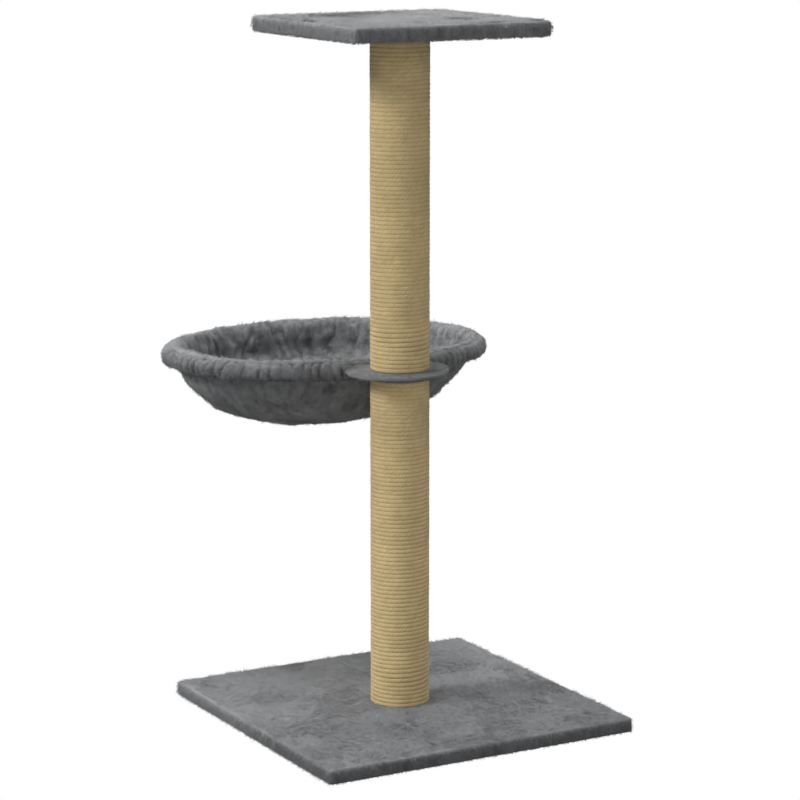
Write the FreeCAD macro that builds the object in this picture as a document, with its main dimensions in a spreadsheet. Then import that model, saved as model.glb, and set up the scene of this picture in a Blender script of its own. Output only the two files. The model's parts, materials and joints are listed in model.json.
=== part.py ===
import FreeCAD, Part
import Sketcher
import math
import os
from FreeCAD import Placement, Rotation, Vector

# A free-standing cat tree: a square plush-covered base, a scratching post in two
# sections wound with sisal rope, a plush-covered lookout platform on top, and a
# round hammock whose steel ring is welded to a plate that is clamped between the
# two post sections and can be turned about the post.
# Frame: millimetres, +Z up, origin on the post's axis at the floor, X and Y along
# the sides of the base. The hammock hangs out over the +Y side.

doc = FreeCAD.newDocument("cat_tree")

# ---------------------------------------------------------------- driving sizes
SIZES = {
    # platforms: particle board wrapped in plush, the cloth folded in underneath
    "total_height": 825,
    "base_side": 400,
    "top_side": 252,
    "board_thick": 12,
    "plush_thick": 3,
    "fold_thick": 1.5,
    "fold_width": 30,
    "backing_thick": 0.6,
    "cover_corner": 6,
    "access_hole": 12,
    # post: paper tube with wooden plugs, wound with rope
    "tube_diameter": 60,
    "tube_wall": 4,
    "plug_length": 20,
    "glue_line": 0.1,
    "rope_thick": 4.3,
    "rope_pitch": 5,
    "rope_groove": 1.2,
    # hardware, M8
    "shank_diameter": 7.9,
    "nut_bore": 8,
    "clear_bore": 9,
    "bolt_length": 35,
    "bolt_head_diameter": 14,
    "bolt_head_thick": 4.4,
    "hex_key": 5,
    "hex_depth": 2.6,
    "washer_diameter": 28,
    "washer_thick": 1.6,
    "recess_diameter": 32,
    "recess_depth": 6.5,
    "stud_length": 60,
    "nut_flange_diameter": 22,
    "nut_flange_thick": 1.2,
    "nut_barrel_diameter": 9.8,
    "nut_barrel_length": 9,
    "nail_diameter": 1.2,
    "nail_length": 12,
    "staple_crown": 10,
    "staple_wire": 0.6,
    "staple_leg": 7,
    # collar: the hammock's steel plate in its plush cover, between the post sections
    "collar_base": 413,
    "collar_diameter": 122,
    "collar_cloth_under": 1.5,
    "collar_cloth_over": 2.5,
    "plate_thick": 3,
    "plate_diameter": 110,
    "clamp_gap": 0.2,
    "slot_gap": 0.3,
    # hammock: wire ring, rim casing, two layers of plush
    "ring_gap": 49,
    "ring_radius": 187.5,
    "wire_diameter": 6,
    "weld_depth": 0.3,
    "rim_diameter": 25,
    "hammock_heading": 84.2,
    "ring_droop": 2.1,
    "ring_lean": 0.8,
    "bowl_radius": 179.8,
    "bowl_depth": 92,
    "bowl_belly": 2.59,
    "bowl_floor": 1.74,
    "bowl_set_out": 30,
    "bowl_set_left": 13,
    "cloth_thick": 5,
    "thread_diameter": 1.5,
}

sheet = doc.addObject("Spreadsheet::Sheet", "Sizes")
for row, (alias, value) in enumerate(SIZES.items(), start=1):
    sheet.set(f"A{row}", alias)
    sheet.set(f"B{row}", str(value))
    sheet.setAlias(f"B{row}", alias)
doc.recompute()


def size(alias):
    return float(sheet.get(alias))


def cell(formula):
    """The formula with each size's name written as a reference to its cell."""
    words = formula.replace("(", " ( ").replace(")", " ) ").split()
    return " ".join(f"Sizes.{word}" if word in SIZES else word for word in words)


def value(formula):
    """The number that a formula in the sizes' names stands for."""
    words = formula.replace("(", " ( ").replace(")", " ) ").split()
    terms = [str(size(word)) if word in SIZES else word for word in words]
    return float(FreeCAD.Units.Quantity(" ".join(terms)).Value)


# ------------------------------------------------------------------ heights
BASE_TOP = "fold_thick + board_thick + plush_thick"
COLLAR_TOP = "collar_base + collar_cloth_under + plate_thick + collar_cloth_over"
PLATE_BASE = "collar_base + collar_cloth_under"
TOP_BASE = "total_height - ( fold_thick + board_thick + plush_thick )"
LOWER_END = "collar_base - clamp_gap"
UPPER_START = f"{COLLAR_TOP} + clamp_gap"
UPPER_END = f"{TOP_BASE} + fold_thick - backing_thick"
LOWER_LENGTH = f"{LOWER_END} - ( {BASE_TOP} )"
UPPER_LENGTH = f"{UPPER_END} - ( {UPPER_START} )"
TUBE_BORE = "tube_diameter / 2 - tube_wall"


# ------------------------------------------------------------------ helpers
parts = {}


def publish(feature, label):
    """Names the finished sub-part and puts it on the list that is written out."""
    feature.Label = label
    parts[label] = feature
    return feature


def bind(feature, **formulas):
    for attribute, formula in formulas.items():
        feature.setExpression(attribute.replace("__", "."), cell(formula))
    return feature


def place(feature, x="0", y="0", z="0"):
    return bind(feature, Placement__Base__x=x, Placement__Base__y=y, Placement__Base__z=z)


def turned(name, profile):
    """A body turned about Z. The profile is a closed line through (radius, height) formulas."""
    body = doc.addObject("PartDesign::Body", name)
    plane = [f for f in body.Origin.OriginFeatures if f.Role == "XZ_Plane"][0]
    outline = body.newObject("Sketcher::SketchObject", f"{name}_profile")
    outline.AttachmentSupport = (plane, [""])
    outline.MapMode = "FlatFace"
    corners = [Vector(value(r), value(h), 0) for r, h in profile]
    count = len(corners)
    for i in range(count):
        outline.addGeometry(Part.LineSegment(corners[i], corners[(i + 1) % count]), False)
    for i in range(count):
        outline.addConstraint(Sketcher.Constraint("Coincident", i, 2, (i + 1) % count, 1))
    for i, (r, h) in enumerate(profile):
        for kind, axis, formula, size_now in (
            ("DistanceX", -2, r, corners[i].x),
            ("DistanceY", -1, h, corners[i].y),
        ):
            if formula == "0":
                outline.addConstraint(Sketcher.Constraint("PointOnObject", i, 1, axis))
                continue
            index = outline.addConstraint(Sketcher.Constraint(kind, -1, 1, i, 1, size_now))
            outline.setExpression(f"Constraints[{index}]", cell(formula))
    turn = body.newObject("PartDesign::Revolution", f"{name}_turned")
    turn.Profile = outline
    turn.ReferenceAxis = (outline, ["V_Axis"])
    turn.Angle = 360
    return body


def slab(name, side, thick, base, corner=None):
    """A square slab centred on the post, its upright corners rounded."""
    body = doc.addObject("PartDesign::Body", name)
    plane = [f for f in body.Origin.OriginFeatures if f.Role == "XY_Plane"][0]
    outline = body.newObject("Sketcher::SketchObject", f"{name}_outline")
    outline.AttachmentSupport = (plane, [""])
    outline.MapMode = "FlatFace"
    half = value(side) / 2
    signs = [(-1, -1), (1, -1), (1, 1), (-1, 1)]
    corners = [Vector(x * half, y * half, 0) for x, y in signs]
    for i in range(4):
        outline.addGeometry(Part.LineSegment(corners[i], corners[(i + 1) % 4]), False)
    for i in range(4):
        outline.addConstraint(Sketcher.Constraint("Coincident", i, 2, (i + 1) % 4, 1))
    for i, kind in enumerate(("Horizontal", "Vertical", "Horizontal", "Vertical")):
        outline.addConstraint(Sketcher.Constraint(kind, i))
    outline.addConstraint(Sketcher.Constraint("Symmetric", 0, 1, 2, 1, -1, 1))
    for line, kind in ((0, "DistanceX"), (1, "DistanceY")):
        index = outline.addConstraint(Sketcher.Constraint(kind, line, 1, line, 2, 2 * half))
        outline.setExpression(f"Constraints[{index}]", cell(side))
    pad = body.newObject("PartDesign::Pad", f"{name}_pad")
    pad.Profile = outline
    bind(pad, Length=thick)
    if corner:
        doc.recompute()
        upright = [
            f"Edge{i}"
            for i, edge in enumerate(pad.Shape.Edges, start=1)
            if abs(edge.tangentAt(edge.FirstParameter).z) > 0.99
        ]
        rounded = body.newObject("PartDesign::Fillet", f"{name}_corners")
        rounded.Base = (pad, upright)
        bind(rounded, Radius=corner)
    return place(body, z=base)


def rod(name, diameter, length):
    feature = doc.addObject("Part::Cylinder", name)
    return bind(feature, Radius=f"( {diameter} ) / 2", Height=length)


def cylinder(name, diameter, length, base):
    """A rod standing on the post's axis."""
    return place(rod(name, diameter, length), z=base)


def cut(base, *tools):
    """The base less each tool in turn."""
    left = base
    for tool in tools:
        difference = doc.addObject("Part::Cut", f"{base.Name}_less_{tool.Name}")
        difference.Base = left
        difference.Tool = tool
        left = difference
    return left


def fixed(name, shape, placement=None):
    """A feature whose shape is worked out here from the sheet's values."""
    feature = doc.addObject("Part::Feature", name)
    feature.Shape = shape
    feature.Placement = placement or Placement()
    return feature


# ---------------------------------------------------------------- platforms
def staple_shape():
    """A driven staple: crown along X at the origin, legs up."""
    wire = size("staple_wire")
    crown = size("staple_crown")
    leg = size("staple_leg")
    bar = Part.makeBox(crown, 2 * wire, wire, Vector(-crown / 2, -wire, 0))
    sides = [
        Part.makeBox(wire, 2 * wire, leg, Vector(x, -wire, 0))
        for x in (-crown / 2, crown / 2 - wire)
    ]
    return bar.fuse(sides).removeSplitter()


def edge_staples(name, side, per_edge, base):
    """A row of staples through the folded cloth along each of the four sides."""
    inset = value(side) / 2 - size("fold_width") / 2
    pitch = (value(side) - 2 * size("fold_width")) / (per_edge - 1)
    one = staple_shape()
    driven = []
    for quarter in range(4):
        for i in range(per_edge):
            along = (i - (per_edge - 1) / 2) * pitch
            spot = Placement(Vector(along, -inset, base), Rotation())
            turn = Placement(Vector(), Rotation(Vector(0, 0, 1), 90 * quarter))
            staple = one.copy()
            staple.Placement = turn.multiply(spot)
            driven.append(staple)
    return publish(fixed(name, Part.makeCompound(driven)), name)


def bolt(name):
    """A button-head bolt: head on the XY plane, hexagon socket in it, shank up."""
    head = "bolt_head_diameter / 2"
    shank = "shank_diameter / 2"
    tip = "bolt_head_thick + bolt_length"
    blank = turned(
        f"{name}_blank",
        [
            ("0", "0"),
            (f"{head} - 1.5", "0"),
            (head, "bolt_head_thick / 2"),
            (head, "bolt_head_thick"),
            (shank, "bolt_head_thick"),
            (shank, f"{tip} - 0.8"),
            (f"{shank} - 0.8", tip),
            ("0", tip),
        ],
    )
    socket = doc.addObject("Part::Prism", f"{name}_socket")
    socket.Polygon = 6
    bind(socket, Circumradius="hex_key / 1.732", Height="hex_depth")
    return publish(cut(blank, socket), name)


def washer(name, base):
    ring = cut(
        cylinder(f"{name}_disc", "washer_diameter", "washer_thick", base),
        cylinder(f"{name}_hole", "clear_bore", "washer_thick", base),
    )
    return publish(ring, name)


def platform(word, side, base, recess_on_top):
    """Board, plush cover, backing sheet, staples, bolt and washer of one platform."""
    board_base = f"{base} + fold_thick"
    board_side = f"{side} - 2 * plush_thick"
    if recess_on_top:
        recess_base = f"{board_base} + board_thick - recess_depth"
        washer_base = recess_base
    else:
        recess_base = board_base
        washer_base = f"{board_base} + recess_depth - washer_thick"
    recess = cylinder(f"{word}_recess", "recess_diameter", "recess_depth", recess_base)
    hole = cylinder(f"{word}_hole", "clear_bore", "board_thick", board_base)
    panel = slab(f"{word}_panel", board_side, "board_thick", board_base, "plush_thick")
    publish(cut(panel, recess, hole), f"{word}_board")

    wrap = slab(f"{word}_wrap", side, BASE_TOP, base, "cover_corner")
    filling = slab(f"{word}_filling", board_side, "board_thick", board_base, "plush_thick")
    window_side = f"{side} - 2 * fold_width"
    window = slab(f"{word}_window", window_side, "fold_thick", base)
    hole_size = "access_hole" if recess_on_top else "clear_bore"
    slit = cylinder(f"{word}_slit", hole_size, "plush_thick", f"{board_base} + board_thick")
    publish(cut(wrap, filling, window, slit), f"{word}_cover")

    sheet_base = f"{board_base} - backing_thick"
    lining = slab(f"{word}_lining", window_side, "backing_thick", sheet_base)
    gap = "clear_bore" if recess_on_top else "recess_diameter"
    opening = cylinder(f"{word}_opening", gap, "backing_thick", sheet_base)
    publish(cut(lining, opening), f"{word}_backing")

    edge_staples(f"{word}_staples", side, 5, value(base) + 0.3)
    washer(f"{word}_washer", washer_base)
    screw = bolt(f"{word}_bolt")
    if recess_on_top:
        screw.Placement.Rotation = Rotation(Vector(1, 0, 0), 180)
        place(screw, z=f"{washer_base} + washer_thick + bolt_head_thick")
    else:
        place(screw, z=f"{washer_base} - bolt_head_thick")


# -------------------------------------------------------------------- posts
def rope_shape(length):
    """The wound rope as one sleeve, a rounded rib for each turn."""
    inner = size("tube_diameter") / 2 + size("glue_line")
    crest = size("tube_diameter") / 2 + size("rope_thick")
    valley = crest - size("rope_groove")
    turns = round(length / size("rope_pitch"))
    pitch = length / turns
    outline = [Part.LineSegment(Vector(inner, 0, 0), Vector(valley, 0, 0))]
    for turn in range(turns):
        low = Vector(valley, 0, turn * pitch)
        top = Vector(crest, 0, (turn + 0.5) * pitch)
        high = Vector(valley, 0, (turn + 1) * pitch)
        outline.append(Part.Arc(low, top, high))
    outline.append(Part.LineSegment(Vector(valley, 0, length), Vector(inner, 0, length)))
    outline.append(Part.LineSegment(Vector(inner, 0, length), Vector(inner, 0, 0)))
    face = Part.Face(Part.Wire([segment.toShape() for segment in outline]))
    return face.revolve(Vector(), Vector(0, 0, 1), 360)


def post(word, start, length):
    """Tube, its two end plugs and the rope of one post section."""
    tube = turned(
        f"{word}_tube_body",
        [
            (TUBE_BORE, "0"),
            ("tube_diameter / 2", "0"),
            ("tube_diameter / 2", length),
            (TUBE_BORE, length),
        ],
    )
    publish(place(tube, z=start), f"{word}_tube")
    publish(
        fixed(
            f"{word}_rope_sleeve",
            rope_shape(value(length)),
            Placement(Vector(0, 0, value(start)), Rotation()),
        ),
        f"{word}_rope",
    )
    barrel = "( nut_barrel_diameter + glue_line ) / 2"
    plug_radius = f"{TUBE_BORE} - glue_line"
    barrel_start = "plug_length - nut_barrel_length - glue_line"
    for end in ("foot", "head"):
        plug = turned(
            f"{word}_{end}_plug_body",
            [
                ("clear_bore / 2", "0"),
                (plug_radius, "0"),
                (plug_radius, "plug_length"),
                (barrel, "plug_length"),
                (barrel, barrel_start),
                ("clear_bore / 2", barrel_start),
            ],
        )
        if end == "head":
            plug.Placement.Rotation = Rotation(Vector(1, 0, 0), 180)
            place(plug, z=f"{start} + {length}")
        else:
            place(plug, z=start)
        publish(plug, f"{word}_{end}_plug")


def tee_nuts():
    """A flanged nut on the inner face of each of the four plugs, barrel in the plug."""
    half_bore = "nut_bore / 2"
    nut = turned(
        "tee_nut_body",
        [
            (half_bore, "0"),
            ("nut_barrel_diameter / 2", "0"),
            ("nut_barrel_diameter / 2", "nut_barrel_length"),
            ("nut_flange_diameter / 2", "nut_barrel_length"),
            ("nut_flange_diameter / 2", "nut_barrel_length + nut_flange_thick"),
            (half_bore, "nut_barrel_length + nut_flange_thick"),
        ],
    )
    doc.recompute()
    into_plug = size("plug_length") - size("nut_barrel_length")
    nuts = []
    for start, length in POSTS.values():
        for height, turn in (
            (value(start) + into_plug, 0),
            (value(start) + value(length) - into_plug, 180),
        ):
            one = nut.Shape.copy()
            one.Placement = Placement(Vector(0, 0, height), Rotation(Vector(1, 0, 0), turn))
            nuts.append(one)
    publish(fixed("tee_nut_group", Part.makeCompound(nuts)), "tee_nuts")


def plug_nails():
    """Three short nails hold the tube to each plug, under the rope."""
    radius = size("tube_diameter") / 2
    reach = size("nail_length")
    nails = []
    for start, length in POSTS.values():
        middle = size("plug_length") / 2
        for height in (value(start) + middle, value(start) + value(length) - middle):
            for third in range(3):
                turn = math.radians(30 + 120 * third)
                out = Vector(math.cos(turn), math.sin(turn), 0)
                nails.append(
                    Part.makeCylinder(
                        size("nail_diameter") / 2,
                        reach,
                        out * radius + Vector(0, 0, height),
                        out * -1,
                    )
                )
    publish(fixed("plug_nail_group", Part.makeCompound(nails)), "plug_nails")


def rope_staples():
    """One staple pins each end of each rope to its tube, on the +Y side."""
    crest = size("tube_diameter") / 2 + size("rope_thick") - size("rope_groove")
    inward = Rotation(Vector(1, 0, 0), 90)
    heights = []
    for start, length in POSTS.values():
        heights += [
            value(start) + size("rope_pitch") / 2,
            value(start) + value(length) - size("rope_pitch") / 2,
        ]
    staples = []
    for height in heights:
        one = staple_shape()
        one.Placement = Placement(Vector(0, crest, height), inward)
        staples.append(one)
    publish(fixed("rope_staple_group", Part.makeCompound(staples)), "rope_staples")


def joining_stud():
    half = "shank_diameter / 2"
    stud = turned(
        "joining_stud_body",
        [
            ("0", "0"),
            (f"{half} - 0.8", "0"),
            (half, "0.8"),
            (half, "stud_length - 0.8"),
            (f"{half} - 0.8", "stud_length"),
            ("0", "stud_length"),
        ],
    )
    middle = f"( {LOWER_END} + {UPPER_START} ) / 2"
    publish(place(stud, z=f"{middle} - stud_length / 2"), "joining_stud")


# ------------------------------------------------------------------ hammock
def hammock_placement():
    """Ring centre and attitude: out from the post, drooping away from it, leaning left."""
    droop = math.radians(size("ring_droop"))
    heading = math.radians(size("hammock_heading"))
    reach = size("ring_gap") + size("ring_radius") * math.cos(droop)
    near_height = value(PLATE_BASE) - size("wire_diameter") / 2 + size("weld_depth")
    height = near_height - size("ring_radius") * math.sin(droop)
    centre = Vector(reach * math.cos(heading), reach * math.sin(heading), height)
    attitude = Rotation(size("hammock_heading") - 90, -size("ring_lean"), -size("ring_droop"))
    return Placement(centre, attitude)


def bowl_point(depth, inset):
    """Radius and height of the bowl's section at a share of its depth, set in along its normal."""
    belly, floor = size("bowl_belly"), size("bowl_floor")
    radius, drop = size("bowl_radius"), size("bowl_depth")

    def width(share):
        return radius * (1 - share**belly) ** (1 / floor)

    step = 1e-4
    slope = (width(depth + step) - width(depth - step)) / (2 * step * drop)
    scale = inset / math.hypot(1, slope)
    return width(depth) - scale, -drop * depth - slope * scale


def bowl_solid(name, inset):
    """The bowl filled up to its brim: circles that shift outwards and left as they go down."""
    brim = -4
    shares = (0.2, 0.38, 0.54, 0.68, 0.8, 0.89, 0.95, 0.985)
    stations = [(size("bowl_radius") - inset, brim)]
    stations += [bowl_point(share, inset) for share in shares]
    rings = []
    for radius, height in stations:
        shift = (-height / size("bowl_depth")) ** 1.5
        middle = Vector(-size("bowl_set_left") * shift, size("bowl_set_out") * shift, height)
        rings.append(Part.Wire(Part.makeCircle(radius, middle, Vector(0, 0, 1))))
    return fixed(name, Part.makeLoft(rings, True, False))


def torus(name, section_diameter):
    ring = doc.addObject("Part::Torus", name)
    return bind(ring, Radius1="ring_radius", Radius2=f"( {section_diameter} ) / 2")


def hammock():
    attitude = hammock_placement()
    into_ring = attitude.inverse()

    ring = torus("wire_ring", "wire_diameter")
    ring.Placement = attitude
    publish(ring, "hammock_ring")

    plate = cut(
        cylinder("plate_disc", "plate_diameter", "plate_thick", PLATE_BASE),
        cylinder("plate_bore", "nut_bore", "plate_thick", PLATE_BASE),
    )
    publish(plate, "hammock_plate")

    collar_thick = f"{COLLAR_TOP} - collar_base"
    wire_room = torus("wire_room", "wire_diameter + 0.4")
    wire_room.Placement = attitude
    collar = cut(
        cylinder("collar_disc", "collar_diameter", collar_thick, "collar_base"),
        cylinder("plate_room", "plate_diameter + 0.4", "plate_thick", PLATE_BASE),
        cylinder("collar_bore", "clear_bore", collar_thick, "collar_base"),
        wire_room,
    )
    publish(collar, "collar_cover")

    slot = rod("rim_slot", "collar_diameter + 2", f"{collar_thick} + 2 * slot_gap")
    slot_base = Vector(0, 0, size("collar_base") - size("slot_gap"))
    slot.Placement = into_ring.multiply(Placement(slot_base, Rotation()))
    rim = cut(
        torus("rim_roll", "rim_diameter"), torus("rim_wire_room", "wire_diameter + 0.2"), slot
    )
    rim.Placement = attitude
    publish(rim, "hammock_rim")

    bowls = [bowl_solid(f"bowl_{i}", i * size("cloth_thick")) for i in range(3)]
    for label, outer, inner in (
        ("hammock_outer", bowls[0], bowls[1]),
        ("hammock_lining", bowls[1], bowls[2]),
    ):
        layer = cut(outer, inner, torus(f"{label}_rim_room", "rim_diameter + 0.2"))
        layer.Placement = attitude
        publish(layer, label)

    thread = doc.addObject("Part::Torus", "seam_thread")
    below_rim = Vector(0, 0, -size("rim_diameter") / 2 - size("glue_line"))
    bind(thread, Radius1="bowl_radius + 2 * thread_diameter", Radius2="thread_diameter / 2")
    thread.Placement = attitude.multiply(Placement(below_rim, Rotation()))
    publish(thread, "hem_thread")


# ------------------------------------------------------------------- build
POSTS = {
    "lower": (BASE_TOP, LOWER_LENGTH),
    "upper": (UPPER_START, UPPER_LENGTH),
}

platform("base", "base_side", "0", recess_on_top=False)
for post_name, (post_start, post_length) in POSTS.items():
    post(post_name, post_start, post_length)
tee_nuts()
plug_nails()
rope_staples()
joining_stud()
platform("top", "top_side", TOP_BASE, recess_on_top=True)
hammock()
doc.recompute()

for feature in doc.Objects:
    if {"Invalid", "Error"} & set(feature.State):
        raise RuntimeError(f"{feature.Label} did not build: {feature.State}")
os.makedirs("parts", exist_ok=True)
for label, feature in parts.items():
    if feature.Shape.isNull() or not feature.Shape.isValid():
        raise RuntimeError(f"{label} has no valid shape")
for label, feature in parts.items():
    feature.Shape.exportStep(f"parts/{label}.step")
    print(f"{label}: {len(feature.Shape.Solids)} solids, {feature.Shape.Volume:.0f} mm3")
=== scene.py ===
import json
import math

import bpy
import numpy as np
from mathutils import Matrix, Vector
from mathutils.kdtree import KDTree


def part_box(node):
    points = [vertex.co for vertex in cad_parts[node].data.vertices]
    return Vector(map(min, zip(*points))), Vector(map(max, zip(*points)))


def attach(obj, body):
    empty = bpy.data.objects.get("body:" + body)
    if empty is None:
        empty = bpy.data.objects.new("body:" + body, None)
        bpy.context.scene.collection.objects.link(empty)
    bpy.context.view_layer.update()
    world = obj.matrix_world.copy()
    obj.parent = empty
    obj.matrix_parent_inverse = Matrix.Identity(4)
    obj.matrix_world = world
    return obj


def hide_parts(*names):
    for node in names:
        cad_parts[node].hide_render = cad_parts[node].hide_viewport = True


# The cat tree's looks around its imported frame: plush covers with their pile, the
# sisal rope as wound turns, the hammock's hanging cloth, and finishes for the
# fittings. Metres, Z up, origin on the post's axis at the floor.

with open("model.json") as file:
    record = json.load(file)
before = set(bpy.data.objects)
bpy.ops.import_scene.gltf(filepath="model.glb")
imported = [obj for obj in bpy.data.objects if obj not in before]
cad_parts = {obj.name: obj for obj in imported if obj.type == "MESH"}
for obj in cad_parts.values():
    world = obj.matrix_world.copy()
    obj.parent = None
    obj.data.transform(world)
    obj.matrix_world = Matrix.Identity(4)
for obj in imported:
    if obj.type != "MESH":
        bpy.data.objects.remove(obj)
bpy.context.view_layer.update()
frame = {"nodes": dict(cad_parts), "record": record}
MM = 0.001
TAU = 2 * math.pi
UP = np.array([0, 0, 1.0])


# ------------------------------------------------------------------ noise
def hashed(cell, seed):
    """A number from 0 to 1 for each whole-numbered cell."""
    h = cell[:, 0] * 374761393 + cell[:, 1] * 668265263 + cell[:, 2] * 974634777
    h = (h + seed * 1274126177) & 0xFFFFFFFF
    h = ((h ^ (h >> 13)) * 1274126177) & 0xFFFFFFFF
    h = ((h ^ (h >> 16)) * 2246822519) & 0xFFFFFFFF
    return ((h ^ (h >> 15)) & 0xFFFFF) / float(0xFFFFF)


def noise(points, scale, seed):
    """Smooth noise from -1 to 1 whose lumps are about scale metres apart."""
    q = points.reshape(-1, 3) / scale
    cell = np.floor(q).astype(np.int64)
    f = q - cell
    f = f * f * f * (f * (6 * f - 15) + 10)
    total = np.zeros(len(q))
    for corner in np.ndindex(2, 2, 2):
        weight = np.prod(np.where(corner, f, 1 - f), axis=1)
        total += weight * hashed(cell + np.array(corner), seed)
    return (2 * total - 1).reshape(points.shape[:-1])


# ------------------------------------------------------- lines, grids, tubes
def unit(v):
    return v / np.maximum(np.linalg.norm(v, axis=-1, keepdims=True), 1e-12)


def around(angle):
    """Level unit vectors at angles round the Z axis."""
    return np.stack([np.cos(angle), np.sin(angle), 0 * angle], -1)


def distances(line):
    """How far along a line each of its points is."""
    steps = np.linalg.norm(np.diff(line, axis=0), axis=1)
    return np.concatenate([[0], np.cumsum(steps)])


def numbered(rows, cols, looped=True):
    """The numbers of a grid's points, with the first row again after the last one."""
    index = np.arange(rows * cols).reshape(rows, cols)
    return np.concatenate([index, index[:1]]) if looped else index


def quads(index):
    """The faces between neighbours in a grid of point numbers."""
    corners = [index[:-1, :-1], index[1:, :-1], index[1:, 1:], index[:-1, 1:]]
    return np.stack(corners, -1).reshape(-1, 4)


def tube_sides(levels, sides):
    """The triangles of a small tube, which has a ring of points at each level."""
    faces = []
    for low in range(0, (levels - 1) * sides, sides):
        for k in range(sides):
            a, b = low + k, low + (k + 1) % sides
            faces += [(a, b, b + sides), (a, b + sides, a + sides)]
    return faces


def closed_tube(levels, sides):
    last = (levels - 1) * sides
    fan = range(1, sides - 1)
    ends = [(0, k + 1, k) for k in fan] + [(last, last + k, last + k + 1) for k in fan]
    return ends + tube_sides(levels, sides)


def copies(faces, corners, count):
    """The faces of many small shapes that each have their own points."""
    return (np.array(faces)[None] + corners * np.arange(count)[:, None, None]).reshape(-1, 3)


def tube_points(line, girth, across, up, sides):
    """Rings of points round each line: across and up span the plane of a ring."""
    corner = np.arange(sides) * TAU / sides
    spread = across[:, :, None] * np.cos(corner)[:, None] + up * np.sin(corner)[:, None]
    return (line[:, :, None] + girth[None, :, None, None] * spread).reshape(-1, 3)


def own_cells(count, spots):
    """Each small shape's own cell of the baked picture, with its points at the spots."""
    across = math.ceil(math.sqrt(count))
    row, col = np.divmod(np.arange(count), across)
    places = np.stack([col, row], -1)[:, None] + np.array(spots)[None]
    return (places / across).reshape(-1, 2)


# ---------------------------------------------------------------- materials
class Finish:
    """A material being built: a Principled shader and the nodes that feed it."""

    def __init__(self, name, roughness=0.8, **constants):
        self.material = bpy.data.materials.new(name)
        self.material.use_nodes = True
        self.tree = self.material.node_tree
        self.shader = self.tree.nodes["Principled BSDF"]
        self.shader.inputs["Roughness"].default_value = roughness
        for socket, value in constants.items():
            self.shader.inputs[socket.replace("_", " ")].default_value = value

    def node(self, kind, inputs=None, **settings):
        made = self.tree.nodes.new(kind)
        for name, value in settings.items():
            setattr(made, name, value)
        for socket, value in (inputs or {}).items():
            if isinstance(value, bpy.types.NodeSocket):
                self.tree.links.new(value, made.inputs[socket])
            else:
                made.inputs[socket].default_value = value
        return made

    def attribute(self, name, output="Fac"):
        return self.node("ShaderNodeAttribute", attribute_name=name).outputs[output]

    def place(self, stretch=(1, 1, 1), source=None):
        """The point's own position, or another vector, stretched along its axes."""
        if source is None:
            source = self.node("ShaderNodeTexCoord").outputs["Object"]
        mapped = self.node("ShaderNodeMapping", {"Vector": source, "Scale": stretch})
        return mapped.outputs["Vector"]

    def grain(self, scale, detail=3.0, where=None, rough=0.55, distortion=0.0):
        fed = {"Vector": where or self.place(), "Scale": scale, "Detail": detail}
        fed |= {"Roughness": rough, "Distortion": distortion}
        return self.node("ShaderNodeTexNoise", fed).outputs["Fac"]

    def cells(self, scale, output="Distance", where=None):
        fed = {"Vector": where or self.place(), "Scale": scale}
        return self.node("ShaderNodeTexVoronoi", fed).outputs[output]

    def ramp(self, value, *stops):
        made = self.node("ShaderNodeValToRGB", {"Fac": value})
        elements = made.color_ramp.elements
        while len(elements) < len(stops):
            elements.new(0.5)
        for element, (position, colour) in zip(elements, stops, strict=True):
            element.position = position
            element.color = (*colour, 1)
        return made.outputs["Color"]

    def waves(self, scale, where=None, inputs=None, **settings):
        fed = {"Vector": where or self.place(), "Scale": scale, **(inputs or {})}
        return self.node("ShaderNodeTexWave", fed, **settings).outputs["Fac"]

    def span(self, value, low, high, to_low, to_high):
        fed = {"Value": value, "From Min": low, "From Max": high}
        fed |= {"To Min": to_low, "To Max": to_high}
        return self.node("ShaderNodeMapRange", fed).outputs["Result"]

    def sums(self, operation, a, b):
        made = self.node("ShaderNodeMath", {0: a, 1: b}, operation=operation)
        return made.outputs[0]

    def shaded(self, colour, value):
        """The colour multiplied by a grey value."""
        made = self.node("ShaderNodeVectorMath", {0: colour}, operation="SCALE")
        self.tree.links.new(value, made.inputs["Scale"])
        return made.outputs["Vector"]

    def colour(self, socket):
        self.tree.links.new(socket, self.shader.inputs["Base Color"])
        return self

    def tinted(self, value, *stops):
        """Coloured by where a value falls between the stops."""
        return self.colour(self.ramp(value, *stops))

    def rough(self, value, low, high):
        fed = self.span(value, 0.3, 0.7, low, high)
        self.tree.links.new(fed, self.shader.inputs["Roughness"])
        return self

    def bump(self, height, distance, strength=1.0):
        fed = {"Height": height, "Distance": distance, "Strength": strength}
        made = self.node("ShaderNodeBump", fed)
        self.tree.links.new(made.outputs["Normal"], self.shader.inputs["Normal"])
        return self


def plush_finish(name, dark, light, sheen):
    """Cut pile: each tuft's own shade, with fine fibre grain along it."""
    f = Finish(name, 0.86, Sheen_Weight=sheen, Sheen_Roughness=0.45)
    f.shader.inputs["Specular IOR Level"].default_value = 0.2
    fibre = f.grain(2600, 2.0)
    patches = f.grain(24, 3.0)
    tone = f.attribute("tone")
    mixed = f.sums("MULTIPLY", tone, f.span(fibre, 0.3, 0.7, 0.84, 1.14))
    mixed = f.sums("MULTIPLY", mixed, f.span(patches, 0.3, 0.7, 0.93, 1.06))
    f.tinted(mixed, (0.0, (0, 0, 0)), (0.62, dark), (1.0, light))
    f.rough(fibre, 0.78, 0.95)
    return f.bump(fibre, 0.0004, 0.5).material


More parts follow.
